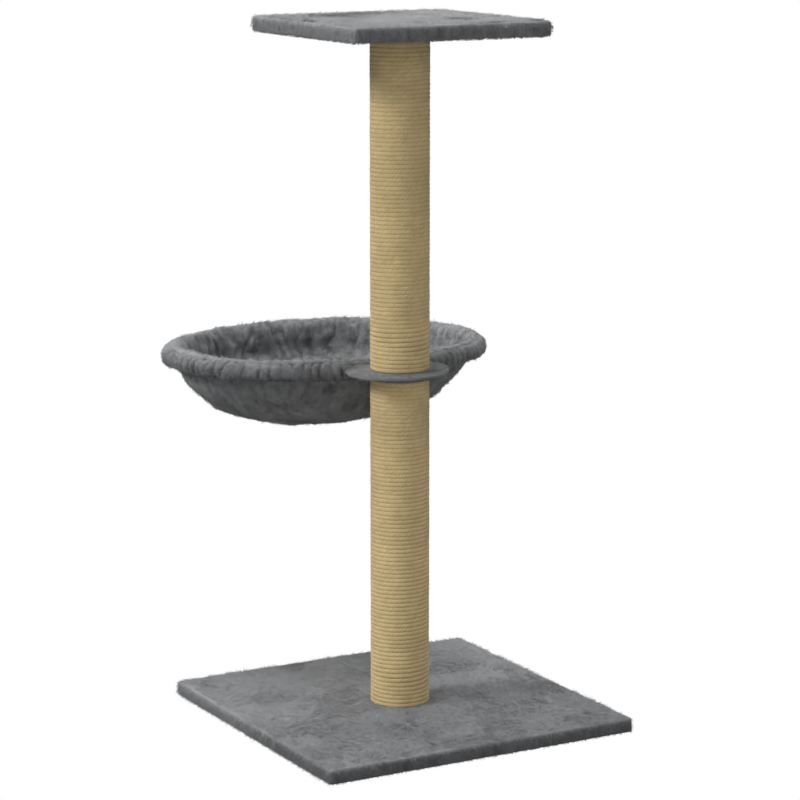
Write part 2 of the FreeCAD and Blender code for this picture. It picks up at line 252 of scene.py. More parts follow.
def sisal_finish():
    """Twisted sisal: fine pale and brown fibres that follow each strand."""
    f = Finish("sisal", 0.8, Sheen_Weight=0.05)
    f.shader.inputs["Specular IOR Level"].default_value = 0.25
    lay = f.attribute("lay", "Vector")
    fine = f.grain(1.0, 3.0, f.place((140, 2600, 1), lay), 0.6)
    coarse = f.grain(1.0, 2.0, f.place((55, 800, 1), lay), 0.5)
    patch = f.grain(30, 3.0)
    blend = f.sums("MULTIPLY", fine, 0.6)
    blend = f.sums("ADD", blend, f.sums("MULTIPLY", coarse, 0.4))
    pale = f.ramp(
        blend,
        (0.28, (0.303, 0.203, 0.084)),
        (0.42, (0.428, 0.319, 0.15)),
        (0.55, (0.511, 0.398, 0.205)),
        (0.75, (0.628, 0.508, 0.29)),
    )
    shade = f.sums("MULTIPLY", f.attribute("tone"), f.span(patch, 0.3, 0.7, 0.93, 1.06))
    f.colour(f.shaded(pale, shade))
    f.rough(fine, 0.68, 0.92)
    return f.bump(blend, 0.0007, 0.8).material


def board_finish():
    """Particle board: pressed chips of several shades."""
    f = Finish("particle_board", 0.75)
    chips = f.cells(260, "Color", f.place((1, 1, 2.2)))
    tint = f.node("ShaderNodeSeparateColor", {"Color": chips}).outputs[0]
    dust = f.grain(900, 4.0)
    mixed = f.sums("MULTIPLY", f.sums("ADD", tint, dust), 0.5)
    middling = (0.5, (0.55, 0.41, 0.25))
    f.tinted(mixed, (0.15, (0.27, 0.17, 0.09)), middling, (0.85, (0.72, 0.6, 0.42)))
    f.rough(dust, 0.65, 0.9)
    return f.bump(mixed, 0.0004, 0.6).material


def backing_finish():
    """Spunbond backing: dark felted fibres with a pressed dot pattern."""
    f = Finish("backing_cloth", 0.9, Sheen_Weight=0.1)
    dots = f.cells(420)
    fibres = f.grain(1400, 5.0, None, 0.7, 1.2)
    mixed = f.sums("MULTIPLY", f.span(dots, 0.1, 0.45, 0.35, 1.0), fibres)
    f.tinted(mixed, (0.1, (0.012, 0.012, 0.014)), (0.7, (0.075, 0.075, 0.08)))
    f.rough(fibres, 0.75, 0.97)
    return f.bump(mixed, 0.0003, 0.8).material


def steel_finish(name, dark, light, roughness, metallic=1.0):
    """Plated or painted steel with faint rubbed marks and cloudy plating."""
    f = Finish(name, roughness, Metallic=metallic)
    cloud = f.grain(220, 4.0)
    rub = f.grain(1.0, 3.0, f.place((900, 900, 90)), 0.6)
    mixed = f.sums("MULTIPLY", f.sums("ADD", cloud, rub), 0.5)
    f.tinted(mixed, (0.3, dark), (0.7, light))
    f.rough(mixed, roughness - 0.1, roughness + 0.16)
    return f.bump(rub, 0.00005, 0.6).material


def tube_finish():
    """Wound paper tube: grey-brown board with its spiral seam and flecks."""
    f = Finish("paper_tube", 0.85)
    flecks = f.grain(700, 5.0, f.place((1, 1, 0.35)), 0.65)
    winding = f.place((0.4, 0.4, 1))
    seam = f.waves(6.0, winding, {"Distortion": 0.3}, bands_direction="DIAGONAL")
    mixed = f.sums("MULTIPLY", flecks, f.span(seam, 0.0, 0.06, 0.75, 1.0))
    middling = (0.5, (0.45, 0.32, 0.19))
    f.tinted(mixed, (0.25, (0.26, 0.17, 0.09)), middling, (0.75, (0.58, 0.45, 0.3)))
    f.rough(flecks, 0.75, 0.95)
    return f.bump(mixed, 0.0002, 0.5).material


def wood_finish():
    """Turned softwood: growth rings and fine pores."""
    f = Finish("plug_wood", 0.7)
    wander = {"Distortion": 3.0, "Detail": 3.0, "Detail Scale": 1.5}
    rings = f.waves(130.0, f.place((1, 1, 0.08)), wander, wave_type="RINGS", rings_direction="Z")
    pores = f.grain(1200, 4.0, f.place((1, 1, 0.1)), 0.7)
    mixed = f.sums("MULTIPLY", f.sums("ADD", rings, pores), 0.5)
    middling = (0.55, (0.62, 0.45, 0.27))
    f.tinted(mixed, (0.2, (0.36, 0.22, 0.11)), middling, (0.85, (0.74, 0.59, 0.39)))
    f.rough(pores, 0.6, 0.85)
    return f.bump(mixed, 0.0002, 0.5).material


def thread_finish():
    """Sewing thread: the light and dark of its twisted plies."""
    f = Finish("thread", 0.7, Sheen_Weight=0.2)
    ply = f.waves(260.0, inputs={"Distortion": 1.5}, bands_direction="DIAGONAL")
    f.tinted(ply, (0.1, (0.03, 0.03, 0.033)), (0.9, (0.13, 0.13, 0.138)))
    f.rough(ply, 0.6, 0.85)
    return f.bump(ply, 0.0002, 0.7).material


FINISHES = {
    "plush": plush_finish("plush", (0.078, 0.0803, 0.0835), (0.181, 0.185, 0.190), 0.2),
    "hammock_plush": plush_finish(
        "hammock_plush", (0.0763, 0.0785, 0.0812), (0.1875, 0.1924, 0.1973), 0.2
    ),
    "sisal": sisal_finish(),
    "particle_board": board_finish(),
    "backing_cloth": backing_finish(),
    "zinc_steel": steel_finish("zinc_steel", (0.42, 0.42, 0.4), (0.68, 0.68, 0.66), 0.38),
    "ring_steel": steel_finish("ring_steel", (0.02, 0.02, 0.022), (0.06, 0.06, 0.065), 0.45, 0.6),
    "paper_tube": tube_finish(),
    "plug_wood": wood_finish(),
    "thread": thread_finish(),
}


# ------------------------------------------------------------- mesh building
def piece(
    name, points, faces, slot, body, tones=1.0, replaces=(), lay=None, atlas=None, normals=None
):
    """A named mesh that rides on a body. Its faces all have the same number of corners.
    tones shade it point by point, lay guides the fibres, and atlas is where its points
    are baked."""
    mesh = bpy.data.meshes.new(name)
    corners = faces.size
    mesh.vertices.add(len(points))
    mesh.vertices.foreach_set("co", np.ascontiguousarray(points, np.float32).ravel())
    mesh.loops.add(corners)
    mesh.loops.foreach_set("vertex_index", faces.astype(np.int32).ravel())
    mesh.polygons.add(len(faces))
    starts = np.arange(0, corners, faces.shape[1], dtype=np.int32)
    mesh.polygons.foreach_set("loop_start", starts)
    mesh.update(calc_edges=True)
    mesh.polygons.foreach_set("use_smooth", np.ones(len(faces), bool))
    shades = np.broadcast_to(tones, len(points)).astype(np.float32)
    mesh.attributes.new("tone", "FLOAT", "POINT").data.foreach_set("value", shades)
    if lay is not None:
        layer = mesh.attributes.new("lay", "FLOAT_VECTOR", "POINT")
        layer.data.foreach_set("vector", lay.astype(np.float32).ravel())
    if atlas is not None:
        spots = atlas[faces.ravel()].astype(np.float32)
        mesh.uv_layers.new(name="OFBake").uv.foreach_set("vector", spots.ravel())
    mesh.materials.append(FINISHES[slot])
    if normals is not None:
        mesh.normals_split_custom_set_from_vertices(normals.astype(np.float32))
    made = bpy.data.objects.new(name, mesh)
    bpy.context.scene.collection.objects.link(made)
    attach(made, body)
    if replaces:
        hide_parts(*replaces)
    return made


class Skin:
    """A surface as a grid of points, which may close on itself along its first index."""

    def __init__(self, points, looped=False, flip=False):
        self.looped = looped
        self.points = points
        self.flip = flip
        self.fit()

    def fit(self):
        wide = self.points
        if self.looped:
            wide = np.concatenate([self.points[-1:], self.points, self.points[:1]])
            down = (wide[2:] - wide[:-2]) / 2
        else:
            down = np.gradient(self.points, axis=0)
        across = np.gradient(self.points, axis=1)
        self.normals = unit(np.cross(down, across))
        if self.flip:
            self.normals = -self.normals

    def turn_over(self):
        self.flip = not self.flip
        self.fit()

    def moved(self, distance):
        """Every point moved along its normal."""
        self.points = self.points + self.normals * np.asarray(distance)[..., None]
        self.fit()
        return self

    def shell(self, inner):
        """Points and quads of the closed sheet between this surface and an inner grid."""
        rows, cols = self.points.shape[:2]
        count = rows * cols
        index = numbered(rows, cols, self.looped)
        outer = quads(index)
        rims = [(index[:, 0], False), (index[:, -1], True)]
        if not self.looped:
            rims += [(index[0, :], True), (index[-1, :], False)]
        walls = []
        for edge, turned in rims:
            wall = np.stack([edge[:-1], edge[:-1] + count, edge[1:] + count, edge[1:]], -1)
            walls.append(wall[:, ::-1] if turned else wall)
        faces = np.concatenate([outer, outer[:, ::-1] + count, *walls])
        if self.flip:
            faces = faces[:, ::-1]
        return np.concatenate([self.points.reshape(-1, 3), inner.reshape(-1, 3)]), faces

    def spots(self, count, keep, rng):
        """Points spread over the kept cells by area, with their normals."""
        a = self.points
        b = np.concatenate([a[1:], a[:1]]) if self.looped else a[1:]
        a = a if self.looped else a[:-1]
        corner = a[:, :-1]
        size = np.linalg.norm(np.cross(b[:, :-1] - corner, a[:, 1:] - corner), axis=-1)
        size = size * keep[: size.shape[0], : size.shape[1]]
        total = np.cumsum(size.ravel())
        step = total[-1] / count
        picked = np.searchsorted(total, (np.arange(count) + rng.random(count)) * step)
        picked = np.minimum(picked, size.size - 1)
        i, j = np.divmod(picked, size.shape[1])
        u, v = rng.random((2, count, 1))
        n = (i + 1) % self.points.shape[0]

        def mixed(grid):
            low = grid[i, j] * (1 - v) + grid[i, j + 1] * v
            high = grid[n, j] * (1 - v) + grid[n, j + 1] * v
            return low * (1 - u) + high * u

        return mixed(self.points), unit(mixed(self.normals))


def evenly(points):
    return np.ones(len(points))


def pile(
    name,
    skin,
    slot,
    body,
    count,
    seed,
    length=8 * MM,
    width=0.62 * MM,
    lift=0.16,
    keep=None,
    clump=9 * MM,
    pull=0.35,
    swirl=45 * MM,
    nap=(0, 0, 0),
    pieces=1,
    shade=evenly,
    cropped=evenly,
    raised=evenly,
    joints=2,
    lowest=None,
):
    """Locks of pile on a skin: each a closed, tapering, bent lock that leans with the
    swirl of the nap and draws towards the middle of its clump. With one joint they are
    straight single hairs. shade, cropped and raised give each place's tone, length and
    lift."""
    rng = np.random.default_rng(seed)
    if keep is None:
        keep = np.ones(skin.points.shape[:2])
    root, normal = skin.spots(count, keep, rng)
    hearts = max(8, int(count * clump_share(skin, keep, count, clump)))
    heart, heart_normal = skin.spots(hearts, keep, rng)
    tree = KDTree(len(heart))
    for i, place in enumerate(heart):
        tree.insert(place, i)
    tree.balance()
    near = np.array([tree.find(place)[1] for place in root])

    def lean_at(points, normals):
        flow = np.stack([noise(points, swirl, seed + k) for k in range(3)], -1)
        flow += 0.4 * np.stack([noise(points, swirl / 3, seed + 7 + k) for k in range(3)], -1)
        flow += np.array(nap)
        return unit(flow - normals * (flow * normals).sum(-1, keepdims=True))

    jitter = unit(rng.normal(size=(count, 3)))
    reach = length * (0.7 + 0.6 * rng.random((count, 1)))
    reach = reach * cropped(root)[:, None]
    rise = lift * (0.6 + 1.6 * rng.random((count, 1)) ** 2)
    rise = np.minimum(rise * raised(root)[:, None], 0.8)  # never quite upright
    lean = unit(lean_at(root, normal) + 0.3 * jitter)
    heart_tip = heart + heart_normal * length * lift
    heart_tip = heart_tip + lean_at(heart, heart_normal) * length * 0.6
    tip = root + normal * reach * rise + lean * reach * (1 - lift)
    draw = pull * (0.5 + rng.random((count, 1)))
    drawn = heart_tip[near] - tip
    far = np.maximum(np.linalg.norm(drawn, axis=1, keepdims=True), 1e-9)
    tip = tip + drawn * draw * np.minimum(1, reach / far)
    middle = root * 0.5 + tip * 0.5 + normal * (reach * 0.07 + width * 0.3)
    foot = root - normal * width * 0.9

    axis = unit(tip - root)
    side = unit(np.cross(axis, normal))
    other = np.cross(axis, side)
    angles = np.arange(3) * TAU / 3
    girth = width * (0.7 + 0.6 * rng.random((count, 1, 1)))
    spokes = side[:, None] * np.cos(angles)[None, :, None]
    spokes = spokes + other[:, None] * np.sin(angles)[None, :, None] * 0.6
    rings = [at[:, None] + spokes * girth * 0.5 for at in (foot, middle)[:joints]]
    points = np.concatenate([*rings, tip[:, None]], axis=1)
    if lowest is not None:
        # tips that would hang below are folded back up a little
        z = points[..., 2]
        points[..., 2] = np.where(z < lowest, lowest + 0.05 * (lowest - z), z)
    corners = 3 * joints + 1
    smooth = np.repeat(normal[:, None], corners, axis=1)
    for ring in range(joints):
        smooth[:, 3 * ring : 3 * ring + 3] += 0.5 * spokes
    smooth[:, -1] += 0.3 * axis
    neck = corners - 4
    one = [(0, 2, 1), *tube_sides(joints, 3)]
    one += [(neck + k, neck + (k + 1) % 3, corners - 1) for k in range(3)]
    own = 0.84 + 0.24 * rng.random((count, 1))
    own = own + 0.08 * (rng.random(len(heart))[near][:, None] - 0.5)
    own = own * shade(0.45 * root + 0.55 * tip)[:, None]
    # painted shade: darker at the foot, down among the other locks, lighter at the tip
    tones = own * np.repeat([0.82, 0.95, 1.05], 3)[-3 * joints - 3 : -2]
    spots = [(x, y) for y in (0.25, 0.55)[:joints] for x in (0.2, 0.8, 0.5)] + [(0.5, 0.85)]
    for part in range(pieces):
        chosen = np.arange(part * count // pieces, (part + 1) * count // pieces)
        piece(
            f"{name}_{part + 1}" if pieces > 1 else name,
            points[chosen].reshape(-1, 3),
            copies(one, corners, len(chosen)),
            slot,
            body,
            tones[chosen].ravel(),
            atlas=own_cells(len(chosen), spots),
            normals=unit(smooth[chosen].reshape(-1, 3)),
        )


HAIR = {"length": 4.8 * MM, "width": 0.17 * MM, "lift": 0.36, "pull": 0.1, "joints": 1}


def furred(word, on, counts, seeds, locks, **both):
    """The locks of pile on a cloth, and the single hairs that stand out of them and blur
    their outline. on is the cloth's skin, slot and body."""
    pile(f"{word}_pile", *on, counts[0], seeds[0], **locks, **both)
    pile(f"{word}_hairs", *on, counts[1], seeds[1], **{**HAIR, **both})


def clump_share(skin, keep, count, clump):
    """How many clumps there are for each tuft, from the clumps' spacing."""
    a = skin.points
    down = np.gradient(a, axis=0)
    across = np.gradient(a, axis=1)
    area = (np.linalg.norm(np.cross(down, across), axis=-1) * keep).sum()
    return min(0.5, area / (clump * clump) / count)


# -------------------------------------------------------------- plush slabs
def slab_skin(node, sink, edge, corner, fold, step):
    """The cloth over one board: across the top, round the edge and in underneath."""
    low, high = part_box(node)
    half = high.x - sink
    top = high.z - sink
    bottom = low.z + 0.3 * MM
    turn = np.linspace(0, math.pi / 2, 7)
    inwards, upwards = edge * np.cos(turn), edge * np.sin(turn)
    out = [[0.0], half - edge + upwards, half - edge + inwards, [half - fold]]
    height = [[top], top - edge + inwards, bottom + edge - upwards, [bottom]]
    line = np.stack([np.concatenate(out), np.concatenate(height)], -1)
    along = distances(line)
    reach = along[-1]
    count = 2 * int(round(reach / step))
    ticks = np.linspace(-reach, reach, count + 1)
    u, v = np.meshgrid(ticks, ticks, indexing="ij")
    m = np.maximum(np.abs(u), np.abs(v))
    size = np.interp(m, along, line[:, 0])
    z = np.interp(m, along, line[:, 1])
    scale = size / np.maximum(m, 1e-9)
    x, y = u * scale, v * scale
    bend = corner * np.clip(size / half, 0, 1) ** 10
    ax = np.abs(x) - (size - bend)
    ay = np.abs(y) - (size - bend)
    both = (ax > 0) & (ay > 0)
    away = np.maximum(np.hypot(ax, ay), 1e-9)
    x = np.where(both, np.sign(x) * (size - bend + bend * ax / away), x)
    y = np.where(both, np.sign(y) * (size - bend + bend * ay / away), y)
    return Skin(np.stack([x, y, z], -1)), m, along


def tucks(points, marks, width, length=9 * MM):
    """1 in the short curved tucks where the cover is pulled in, fading to 0 round them."""
    total = np.zeros(points.shape[:-1])
    for x, y, heading in marks:
        dx, dy = points[..., 0] - x, points[..., 1] - y
        along = dx * math.cos(heading) + dy * math.sin(heading)
        across = dy * math.cos(heading) - dx * math.sin(heading) + along**2 / (34 * MM)
        total += np.exp(-((across / width) ** 2) - (along / length) ** 4)
    return total


def creases(points, seed):
    """1 in the short curved lines where the pile parts, 0 between them."""
    line = np.clip(1 - np.abs(noise(points, 24 * MM, seed)) / 0.09, 0, 1)
    broken = np.clip(3 * noise(points, 17 * MM, seed + 1) - 0.3, 0, 1)
    return line * broken


def plush_slab(word, marks, pieces, counts, seed, under):
    """One platform's cover: the cloth, then its pile and the hairs over it."""
    skin, m, along = slab_skin(
        f"{word}_cover",
        sink=-0.2 * MM,
        edge=1.9 * MM,
        corner=3.5 * MM,
        fold=28 * MM,
        step=2.3 * MM,
    )
    inner = skin.points - skin.normals * 1.6 * MM
    p = skin.points
    half = p[..., 0].max()
    ceiling = p[..., 2].max() - 3 * MM
    swell = 0.4 * MM * noise(p, 38 * MM, seed + 3) + 0.25 * MM * noise(p, 9 * MM, seed + 4)
    swell -= 0.6 * MM * creases(p, seed)
    top = m < along[1]
    swell = np.where(top, swell, swell * 0.4)
    swell = np.where(m > along[-1] - 26 * MM, 0, swell)
    tucked = 0.8 * tucks(p, marks, 6 * MM, 13 * MM) + 1.8 * tucks(p, marks, 2.6 * MM)
    skin.moved(swell - np.where(top, tucked, 0) * MM)

    # a painted highlight sits just behind each tuck, where a raised lip would catch the light
    highlight_lips = [(x - 5 * MM * math.sin(h), y + 5 * MM * math.cos(h), h) for x, y, h in marks]

    def on_side(q):
        """1 on the upright edges, 0 on the flat."""
        reach = np.abs(q[..., :2]).max(-1)
        lower = np.clip((ceiling + 2.5 * MM - q[..., 2]) / (3 * MM), 0, 1)
        return lower * np.clip((reach - half + 3.2 * MM) / (2 * MM), 0, 1)

    def shade(q):
        """Painted shade in the creases and tucks and a painted highlight behind each tuck; random
        tone from the nap, with painted light that depends on side and place.
        """
        broad_tone = 1 + 0.05 * noise(q, 30 * MM, seed + 5) + 0.04 * noise(q, 90 * MM, seed + 6)
        broad_tone = broad_tone + 0.07 * noise(q, 6 * MM, seed + 7)
        # painted light: on the platform the sides facing along X are much lighter than those
        # facing along Y, and the whole cover is a little darker
        if under:
            faces_x = np.abs(q[..., 0]) > np.abs(q[..., 1])
            broad_tone = broad_tone - 0.14 + np.where(faces_x, 0.34, 0.04) * on_side(q)
        else:
            # painted light: the base lighter towards the back and darker towards the front, and a
            # little darker on its sides
            broad_tone = broad_tone + 0.19 * np.tanh(q[..., 1] / 0.07) + 0.02 - 0.02 * on_side(q)
        flat = q[..., 2] > ceiling
        # painted shade in the tucks, less the painted highlight just behind them
        sunk = 1 - flat * (0.62 * tucks(q, marks, 2.4 * MM) - 0.2 * tucks(q, highlight_lips, 2.4 * MM))
        streak = 1 + on_side(q) * 0.07 * noise(q * np.array([1, 1, 0.2]), 2.2 * MM, seed + 8)
        # painted shade in the creases where the pile parts
        return broad_tone * sunk * streak * (1 - 0.24 * creases(q, seed))

    def cropped(q):
        return 1 - 0.78 * tucks(q, marks, 7 * MM, 12 * MM) * (q[..., 2] > ceiling)

    def raised(q):
        return 1 + (0.5 if under else 1.1) * on_side(q)

    tones = np.concatenate([0.88 * shade(p).ravel(), 0.6 + 0 * m.ravel()])
    points, faces = skin.shell(inner)
    cloth = piece(f"{word}_plush", points, faces, "plush", "stand", tones, [f"{word}_cover"])
    # the platform shows its underside, and the base stands on it
    bare = 2 * MM if under else 27 * MM
    furred(
        word,
        (skin, "plush", "stand"),
        counts,
        (seed, seed + 40),
        {"pieces": pieces},
        keep=(m < along[-1] - bare).astype(float),
        nap=(0.0, 0.0, -1.2),
        shade=shade,
        cropped=cropped,
        raised=raised,
        lowest=p[..., 2].min() - (2.0 * MM if under else 0.1 * MM),
    )
    return cloth


# where the base's staples pull the plush in: x, y and heading
TUCKS = [
    (152 * MM, -138 * MM, -0.4),
    (154 * MM, 154 * MM, -0.7),
    (-144 * MM, 6 * MM, -0.45),
    (-141 * MM, -144 * MM, -0.6),
    (-150 * MM, 150 * MM, 0.3),
]
base_cloth = plush_slab("base", TUCKS, 2, (39600, 49500), 11, under=False)
top_cloth = plush_slab("top", [(0.0, 0.0, -0.3)], 1, (19800, 30000), 23, under=True)


def backing(word):
    """The dark sheet stapled under a board: a square with a round hole in it."""
    low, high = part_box(f"{word}_backing")
    radius = (16.2 if word == "base" else 4.8) * MM
    turns, rings = 256, 40
    ray = around(np.arange(turns) * TAU / turns)
    square = ray * (high.x + 0.7 * MM) / np.abs(ray).max(-1, keepdims=True)
    share = np.linspace(0, 1, rings)[:, None] ** 1.2
    flat = ray[:, None] * radius * (1 - share) + square[:, None] * share
    skin = Skin(flat + UP * (high.z - 0.1 * MM), looped=True, flip=True)
    if skin.normals[..., 2].mean() > 0:
        skin.turn_over()
    inner = skin.points.copy()
    skin.moved(0.35 * MM + 0.12 * MM * noise(skin.points, 30 * MM, 5))
    points, faces = skin.shell(inner)
    cad = f"{word}_backing"
    made = piece(f"{cad}_cloth", points, faces, "backing_cloth", "stand", 1.0, [cad])


backing("base")
backing("top")


# --------------------------------------------------------------------- rope
# One turn's outline, from its inner side over the crest and back: the angle, the height
# in pitches, the depth in half thicknesses, the way it faces, and its painted shade, darker
# in the grooves between turns.
GROOVE = 0.78
OUTLINE = np.array(
    [
        (-180, 0, -1, -180, 0.85),
        (-120, -0.44, -0.9, -100, 0.85),
        (-74, -0.505, GROOVE, -30, 0.86),
        (-36, -0.3, 0.95, -14, 0.985),
        (0, 0, 1, 0, 1),
        (36, 0.3, 0.95, 14, 0.985),
        (74, 0.505, GROOVE, 30, 0.86),
        (120, 0.44, -0.9, 100, 0.85),
    ]
).T
ROPE_PITCH = 5 * MM
ROPE_LAY = 13.5 * MM


def wound_rope(node, seed, pressed=0.0):
    """A three-strand rope wound up one tube, its first turn pressed into the plush. Near
    the ends a turn steps up at the back, and in between the turns climbs evenly."""
    low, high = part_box(node)
    crest = high.x + 0.4 * MM
    core = 30.1 * MM
    thick = (crest - core) / 2
    bottom = low.z - pressed
    turns = round((high.z - bottom) / ROPE_PITCH)
    pitch = (high.z - bottom) / turns
    per_turn = 154 if turns > 78 else 156
    count = (turns - 1) * per_turn + 1
    turned = np.arange(count) / per_turn
    whole = np.floor(turned + 1e-9)
    part = turned - whole
    from_end = np.minimum(whole, turns - 2 - whole)
    jog = 0.055 + 0.065 * np.clip(from_end, 0, 1)
    even = np.clip(from_end / 9, 0, 1)
    span = jog + (1 - jog) * even
    step = np.clip((part - (1 - span)) / span, 0, 1)
    eased = step * step * (3 - 2 * step)
    step = np.where(even < 1, eased * (1 - even) + step * even, step)
    z = bottom + pitch * (0.5 + whole + step)
    angle = math.pi / 2 + TAU * turned
    middle = core + thick
    out = around(angle)
    travelled = TAU * middle * turned
    centre = out * middle + UP * z[:, None]
    wander = 0.12 * MM * noise(centre, 28 * MM, seed) + 0.16 * MM * noise(centre, 7 * MM, seed + 1)
    section, height, depth, tilt, groove_shade = OUTLINE
    section, tilt = np.radians(section), np.radians(tilt)
    twist = TAU * travelled / ROPE_LAY
    strands = 3 * (section[None] - twist[:, None])
    lobes = np.cos(strands)
    swell = 1 + 0.06 * lobes + 0.02 * noise(centre, 6 * MM, seed + 3)[:, None]
    filled = (depth == GROOVE) * 0.12 * noise(centre, 32 * MM, seed + 4)[:, None]
    sideways = thick * (depth[None] + filled) * swell
    upright = pitch * height[None] * (1 + 0.03 * lobes)
    points = centre[:, None] + out[:, None] * (sideways + wander[:, None])[..., None]
    points = points + UP * upright[..., None]
    leaning = tilt[None] + 0.2 * np.sin(strands)
    normals = out[:, None] * np.cos(leaning)[..., None] + UP * np.sin(leaning)[..., None]
    sides = len(section)
    ring = np.arange(count * sides).reshape(count, sides)
    nxt = np.roll(ring, -1, axis=1)
    faces = np.stack([ring[:-1], ring[1:], nxt[1:], nxt[:-1]], -1).reshape(-1, 4)
    end = np.array([(0, 1, 2, 3), (0, 3, 4, 7), (4, 5, 6, 7)])
    faces = np.concatenate([faces, end, end[:, ::-1] + sides * (count - 1)])
    # the rope pales over each stretch of 130 mm, then starts again darker
    tone = 0.94 + 0.085 * (((z - 0.082) / (130 * MM)) % 1.0)
    # painted shade in the grooves between turns and between the strands; the 130 mm tone bands and
    # patches are the rope's own
    shade = groove_shade[None] * (0.965 + 0.035 * lobes) * tone[:, None]
    patch = 0.04 * noise(centre, 60 * MM, seed + 5) + 0.05 * noise(centre, 9 * MM, seed + 6)
    shade = shade * (1 + patch[:, None])
    arc = (section[None] - twist[:, None]) * thick
    along = np.broadcast_to(travelled[:, None], arc.shape)
    spread = np.stack([along, arc, 0 * arc], -1)
    u = (turned % 1.0)[:, None] * 0.98 + 0.01
    row = (whole[:, None] + 0.1 + 0.8 * np.arange(sides)[None] / sides) / turns
    atlas = np.stack([np.broadcast_to(u, row.shape), row], -1)
    piece(
        node.replace("_rope", "_sisal_rope"),
        points.reshape(-1, 3),
        faces,
        "sisal",
        "stand",
        shade.ravel(),
        [node],
        lay=spread.reshape(-1, 3),
        atlas=atlas.reshape(-1, 2),
        normals=normals.reshape(-1, 3),
    )
    return crest


rope_crest = wound_rope("lower_rope", 31)
wound_rope("upper_rope", 37, pressed=1.2 * MM)


def rope_fibres(seed, count):
    """Loose ends of fibre that stand a little off the rope."""
    rng = np.random.default_rng(seed)
    low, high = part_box("lower_rope")[0].z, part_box("upper_rope")[1].z
    collar_height = 0.4165
    z = low + 3 * MM + rng.random(count) * (high - low - 6 * MM)
    z = z[np.abs(z - collar_height) > 26 * MM]  # clear of the rim as it turns
    count = len(z)
    angle = rng.random(count) * TAU
    run = rng.choice([-1, 1], count) * (3 + 6 * rng.random(count)) * MM
    rise = rng.normal(size=count) * 1.2 * MM
    off = (0.2 + 1.3 * rng.random(count) ** 2) * MM
    share = np.array([0.0, 0.5, 1.0])
    bend = np.array([-0.5, 0.25, 1.0])
    spin = angle[:, None] + run[:, None] * share / rope_crest
    radius = rope_crest + bend * off[:, None] - 0.1 * MM
    outward = around(spin)
    line = outward * radius[..., None] + UP * (z[:, None] + rise[:, None] * share**2)[..., None]
    thick = np.array([0.11, 0.1, 0.05]) * MM
    points = tube_points(line, thick, outward, UP, 3)
    tones = np.repeat(0.95 + 0.3 * rng.random(count), 9)
    corner_spots = ((0.2, 0.2), (0.8, 0.2), (0.5, 0.4))
    spots = [(x, y + level) for level in (0, 0.2, 0.4) for x, y in corner_spots]
    lay = np.zeros((count * 9, 3))
    lay[:, 0] = np.repeat(np.arange(count) * 0.01, 9)
    piece(
        "rope_fibres",
        points,
        copies(closed_tube(3, 3), 9, count),
        "sisal",
        "stand",
        tones,
        lay=lay,
        atlas=own_cells(count, spots),
    )


rope_fibres(41, 5000)


# ------------------------------------------------------------------ hammock
def ring_frame():
    """The hammock ring's centre, its axes as columns, and its radius, from its node."""
    co = np.array([v.co for v in frame["nodes"]["hammock_ring"].data.vertices])
    centre = (co.max(0) + co.min(0)) / 2
    for _ in range(3):
        _, _, axes = np.linalg.svd(co - centre, full_matrices=False)
        normal = axes[2] * np.sign(axes[2][2])
        heights = (co - centre) @ normal
        centre = centre + normal * (heights.max() + heights.min()) / 2
    out = unit(np.array([centre[0], centre[1], 0.0]))
    y = unit(out - normal * (out @ normal))
    x = np.cross(y, normal)
    spokes = (co - centre) @ np.stack([x, y], -1)
    reach = np.hypot(spokes[:, 0], spokes[:, 1])
    return centre, np.stack([x, y, normal], -1), (reach.max() + reach.min()) / 2


RING_CENTRE, RING_AXES, RING_RADIUS = ring_frame()


def from_ring(points):
    """Points in the ring's own axes, turned and moved to where the ring hangs."""
    return points @ RING_AXES.T + RING_CENTRE


def to_ring(points):
    """Points of the part in the ring's own axes."""
    return (points - RING_CENTRE) @ RING_AXES


def settle(name, points, faces, held, frames, fullness, cap, pressure=0.0, gravity=1.0):
    """Lets cloth hang or fill from its cut shape and gives its new points. held is 1 where
    the cloth is sewn down; fullness is how much wider it was cut than the shape."""
    mesh = bpy.data.meshes.new(name)
    mesh.from_pydata(points.tolist(), [], faces.tolist())
    cloth = bpy.data.objects.new(name, mesh)
    bpy.context.scene.collection.objects.link(cloth)
    group = cloth.vertex_groups.new(name="held")
    group.add(np.flatnonzero(held).tolist(), 1.0, "REPLACE")
    modifier = cloth.modifiers.new("cloth", "CLOTH")
    s = modifier.settings
    s.vertex_group_mass = "held"
    s.quality = 6
    s.mass = 0.35
    s.tension_stiffness = s.compression_stiffness = 12
    s.shear_stiffness = 6
    s.bending_stiffness = 0.6
    s.tension_damping = s.compression_damping = 12
    s.shrink_min = -fullness
    s.use_pressure = pressure > 0
    s.uniform_pressure_force = pressure
    s.effector_weights.gravity = gravity
    modifier.collision_settings.use_collision = False
    scene = bpy.context.scene
    modifier.point_cache.frame_start = 1
    modifier.point_cache.frame_end = frames
    for number in range(1, frames + 1):
        scene.frame_set(number)
    shown = cloth.evaluated_get(bpy.context.evaluated_depsgraph_get())
    settled = np.zeros(len(points) * 3, np.float32)
    shown.data.vertices.foreach_get("co", settled)
    bpy.data.objects.remove(cloth)
    bpy.data.meshes.remove(mesh)
    scene.frame_set(1)
    moved = settled.reshape(-1, 3).astype(float) - points
    far = np.linalg.norm(moved, axis=1, keepdims=True)
    return points + moved * np.minimum(1, cap / np.maximum(far, 1e-9))


def folds(angle, points, count, seed):
    """Gathers round the hammock: rounded hills, 1 at their tops, between sharp valleys at 0."""
    phase = angle * count / 2 + 2.2 * noise(points, 45 * MM, seed)
    phase = phase + 1.3 * noise(points, 19 * MM, seed + 1)
    return np.abs(np.sin(phase)) ** 0.6


